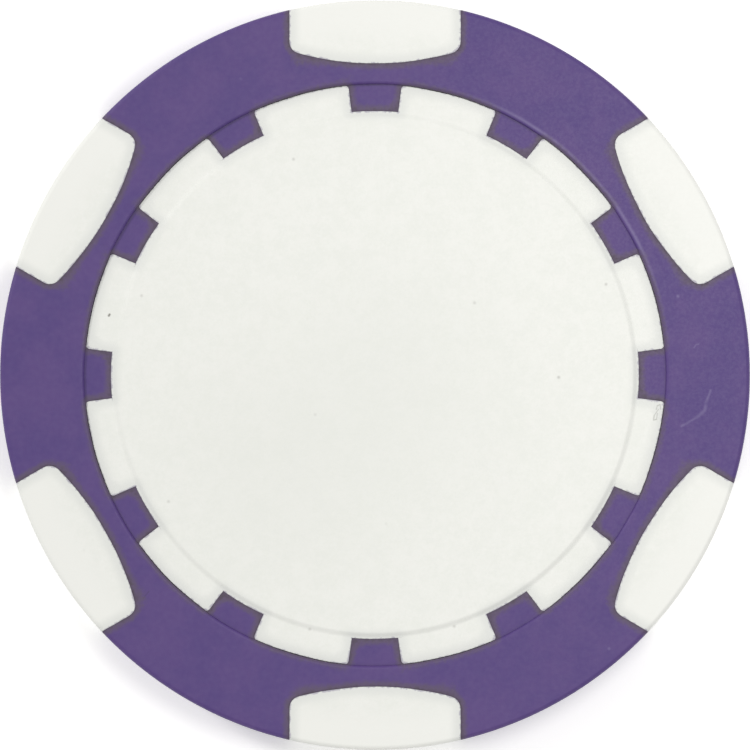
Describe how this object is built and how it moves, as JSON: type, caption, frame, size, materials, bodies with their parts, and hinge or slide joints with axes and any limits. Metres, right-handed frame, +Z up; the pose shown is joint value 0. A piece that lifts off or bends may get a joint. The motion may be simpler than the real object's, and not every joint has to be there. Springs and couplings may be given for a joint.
{
  "type": "poker chip",
  "caption": "Round moulded casino chip with a flat rim land, a toothed channel round a raised blank centre pad, contrasting edge spots and a hidden steel weight disc.",
  "frame": {"origin": "centre of the chip's lower rim land plane, on the axis of the disc", "axes": "+Z up along the disc's axis, through both faces; +Y through the middle of a white edge spot and a purple tooth, +X through the middle of a purple stretch of the rim"},
  "size_m": [0.039, 0.039, 0.0033],
  "materials": {
    "white_abs": "satin",
    "purple_abs": "satin",
    "slug_steel": "satin"
  },
  "bodies": {
    "root": {"steel_slug": "slug_steel", "white_core": "white_abs", "purple_ring": "purple_abs"}
  },
  "joints": []
}
